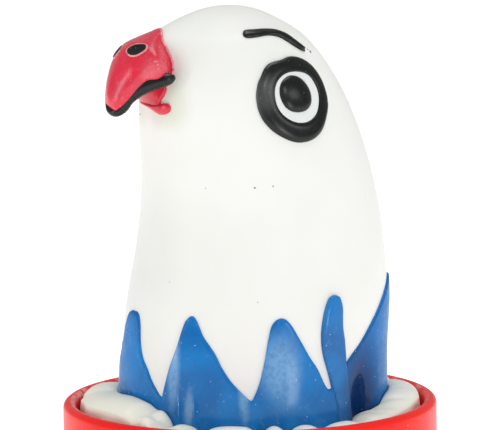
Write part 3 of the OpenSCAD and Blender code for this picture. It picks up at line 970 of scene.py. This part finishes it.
def make_skirt():
    """Up the inner side from the hem, over the gathered top, and down the tub's wall."""
    angles = np.arange(-62, 298, 0.75)
    crest = bend(angles, *np.array(CREST).T)
    foot = on_head(angles, 0.27, COLLAR_T)
    inner = np.hypot(foot[:, 0], foot[:, 1]) + 0.1
    outer = TUB_R - TUB_WALL - 0.55
    outer_low = 4.2  # height where the outer side ends
    pinch = sum(hump_round(angles, c, 3.2) for c in CREASES)
    # Uneven waves round the film.
    wave = (0.5 * np.sin(np.radians(7 * angles + 20)) + 0.35 * np.sin(np.radians(13 * angles))
            + 0.25 * np.sin(np.radians(19 * angles + 70)))
    # The outer edge of the top rises and falls with the crest, but less.
    usual_crest, usual_edge = 24.5, 24.0
    edge_r = outer - 0.35 - 0.3 * wave - 0.5 * pinch
    edge_z = usual_edge + 0.45 * (crest - usual_crest) - 0.5 * pinch
    rows = []

    def ring(r, z):
        a = np.radians(angles)
        rows.append(np.stack([r * np.sin(a), -r * np.cos(a), z + 0 * a], -1))

    low = TUB_FLOOR + 0.7              # height where it starts
    tuck, tuck_up = HEAD_R - 0.5, 1.5  # where the film leaves its hem
    inner_top = crest - 1.3            # where the top starts to round over
    wall_in = inner + 0.1
    for t in np.linspace(0, 1, 5):
        ring(tuck + (wall_in - tuck) * t, low + tuck_up * np.sin(np.pi * t / 2))
    for t in np.linspace(0, 1, 16)[1:]:
        ring(wall_in + 0.35 * t * (1 - t) * wave, low + tuck_up + (inner_top - low - tuck_up) * t)
    for t in np.linspace(0, 1, 44)[1:]:
        dome_up = 0.9 * (1 - (2 * t - 1) ** 2)
        wrinkle = sum(-depth * hump_round(angles, at + drift * t, 2.2)
                      * np.sin(np.pi * min(1, 1.15 * t)) for at, drift, depth in WRINKLES)
        hollow = -1.3 * hump_round(angles, 21.5, 3.2) * hump(t, 0.42, 0.2)
        fold = -0.55 * pinch * np.sin(np.pi * t) ** 0.7
        turn = TOP_TURN * (2 * t - 1)
        r = wall_in + (edge_r - wall_in) * (0.5 + 0.5 * np.sin(turn) / np.sin(TOP_TURN))
        z = inner_top + (edge_z - crest + 0.6) * t + dome_up + wrinkle + hollow + fold
        ring(r, z)
    top = rows[-1][:, 2]
    for t in np.linspace(0, 1, 30)[1:]:
        bulge = np.sin(np.pi * t)
        r = (edge_r + (0.35 + 0.2 * wave) * bulge * (1 - t) - 2.3 * smooth(t, 0.55, 1)
             + 0.45 * bulge * np.sin(np.radians(23 * angles + 60 * t)))
        ring(np.minimum(r, outer + 0.15), top + (outer_low - top) * t)
    points = np.asarray(rows)
    skirt = build("skirt_film", points, quads(*points.shape[:2]), film, slot="film_rubber")
    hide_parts("skirt")


make_skirt()


def make_hem():
    """A rolled bead at the skirt's lower edge."""
    low, high = [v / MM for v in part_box("hem_ring")]
    thick = (high.z - low.z) / 2
    middle_r = high.x - thick
    turns = np.radians(np.linspace(0, 360, 200, endpoint=False))
    rows = []
    for a in np.radians(np.linspace(0, 360, 24, endpoint=False)):
        r = middle_r + thick * np.cos(a)
        rows.append(np.stack([r * np.cos(turns), r * np.sin(turns),
                              0 * turns + low.z + thick + thick * np.sin(a)], -1))
    hem = build("hem_roll", rows, quads(24, 200, around=True), film, body="hem",
                slot="film_rubber")
    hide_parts("hem_ring")


make_hem()


# ---------------------------------------------------------------- floor, light, camera

def make_floor():
    m = material("floor", (0.95, 0.95, 0.95), 0.9)
    shader = m.node_tree.nodes["Principled BSDF"]
    shader.inputs["Emission Color"].default_value = (1, 1, 1, 1)
    shader.inputs["Emission Strength"].default_value = 0.6
    mesh = bpy.data.meshes.new("floor")
    size = 6.0  # metres from the middle to each edge
    mesh.from_pydata([(-size, -size, 0), (size, -size, 0), (size, size, 0), (-size, size, 0)],
                     [], [(0, 1, 2, 3)])
    mesh.materials.append(m)
    floor = put("floor", mesh)


# The camera: its turn from straight ahead of the beak, its climb, its roll, its distance in
# metres and its lens in mm.
AZIMUTH = math.radians(60)
ELEVATION = math.radians(8.26)
ROLL = math.radians(0.81)
DISTANCE = 0.7
LENS = 314.2
right = Vector((math.cos(AZIMUTH), math.sin(AZIMUTH), 0))
back = Vector((math.sin(AZIMUTH) * math.cos(ELEVATION), -math.cos(AZIMUTH) * math.cos(ELEVATION),
               math.sin(ELEVATION)))
up = back.cross(right)
target = Vector((0, 0, 0.05356)) + right * 0.0006  # the place it looks at, in metres


def make_camera():
    data = bpy.data.cameras.new("camera")
    data.sensor_width = 36
    data.lens = LENS
    data.clip_start, data.clip_end = 0.05, 20
    x = right * math.cos(ROLL) - up * math.sin(ROLL)
    y = right * math.sin(ROLL) + up * math.cos(ROLL)
    turned = Matrix((x, y, back)).transposed().to_4x4()
    camera = put("camera", data)
    camera.matrix_world = Matrix.Translation(target + back * DISTANCE) @ turned
    bpy.context.scene.camera = camera


def in_view(side, high, near):
    """A place given as seen by the camera: to the right, up, and towards it, in metres."""
    flat = Vector((back.x, back.y, 0)).normalized()
    return target + right * side + Vector((0, 0, high)) + flat * near


# Each lamp: its place in view, its width and height in metres, and its power in watts.
LAMPS = {"key": [(-0.45, 0.5, 0.55), (0.5, 0.5), 0.12],
         "strip": [(-0.75, 0.12, 0.27), (0.055, 0.5), 1.05],
         "right": [(0.62, 0.34, 0.42), (0.3, 0.12), 0.4],
         "low": [(0.36, 0.02, 0.55), (0.1, 0.15), 0.32],
         "front": [(0.33, 0.42, 0.55), (0.14, 0.14), 0.32],
         "top": [(0.05, 0.9, -0.05), (0.6, 0.6), 3.6]}


def area_light(name, place, size, power):
    """A rectangular lamp that faces the object."""
    data = bpy.data.lights.new(name, "AREA")
    data.shape = "RECTANGLE"
    data.size, data.size_y = size
    data.energy = power
    light = put(name, data)
    light.location = place
    light.rotation_euler = (target - place).to_track_quat("-Z", "Y").to_euler()


def make_lights():
    """The lamps, and an even white light from all round."""
    for name, (place, size, power) in LAMPS.items():
        area_light(name, in_view(*place), size, power)
    world = bpy.data.worlds.new("world")
    world.use_nodes = True
    world.node_tree.nodes["Background"].inputs["Color"].default_value = (1, 1, 1, 1)
    world.node_tree.nodes["Background"].inputs["Strength"].default_value = 0.38
    bpy.context.scene.world = world
    bpy.context.scene.view_settings.view_transform = "Standard"
    bpy.context.scene.view_settings.look = "None"


make_floor()
make_camera()
make_lights()
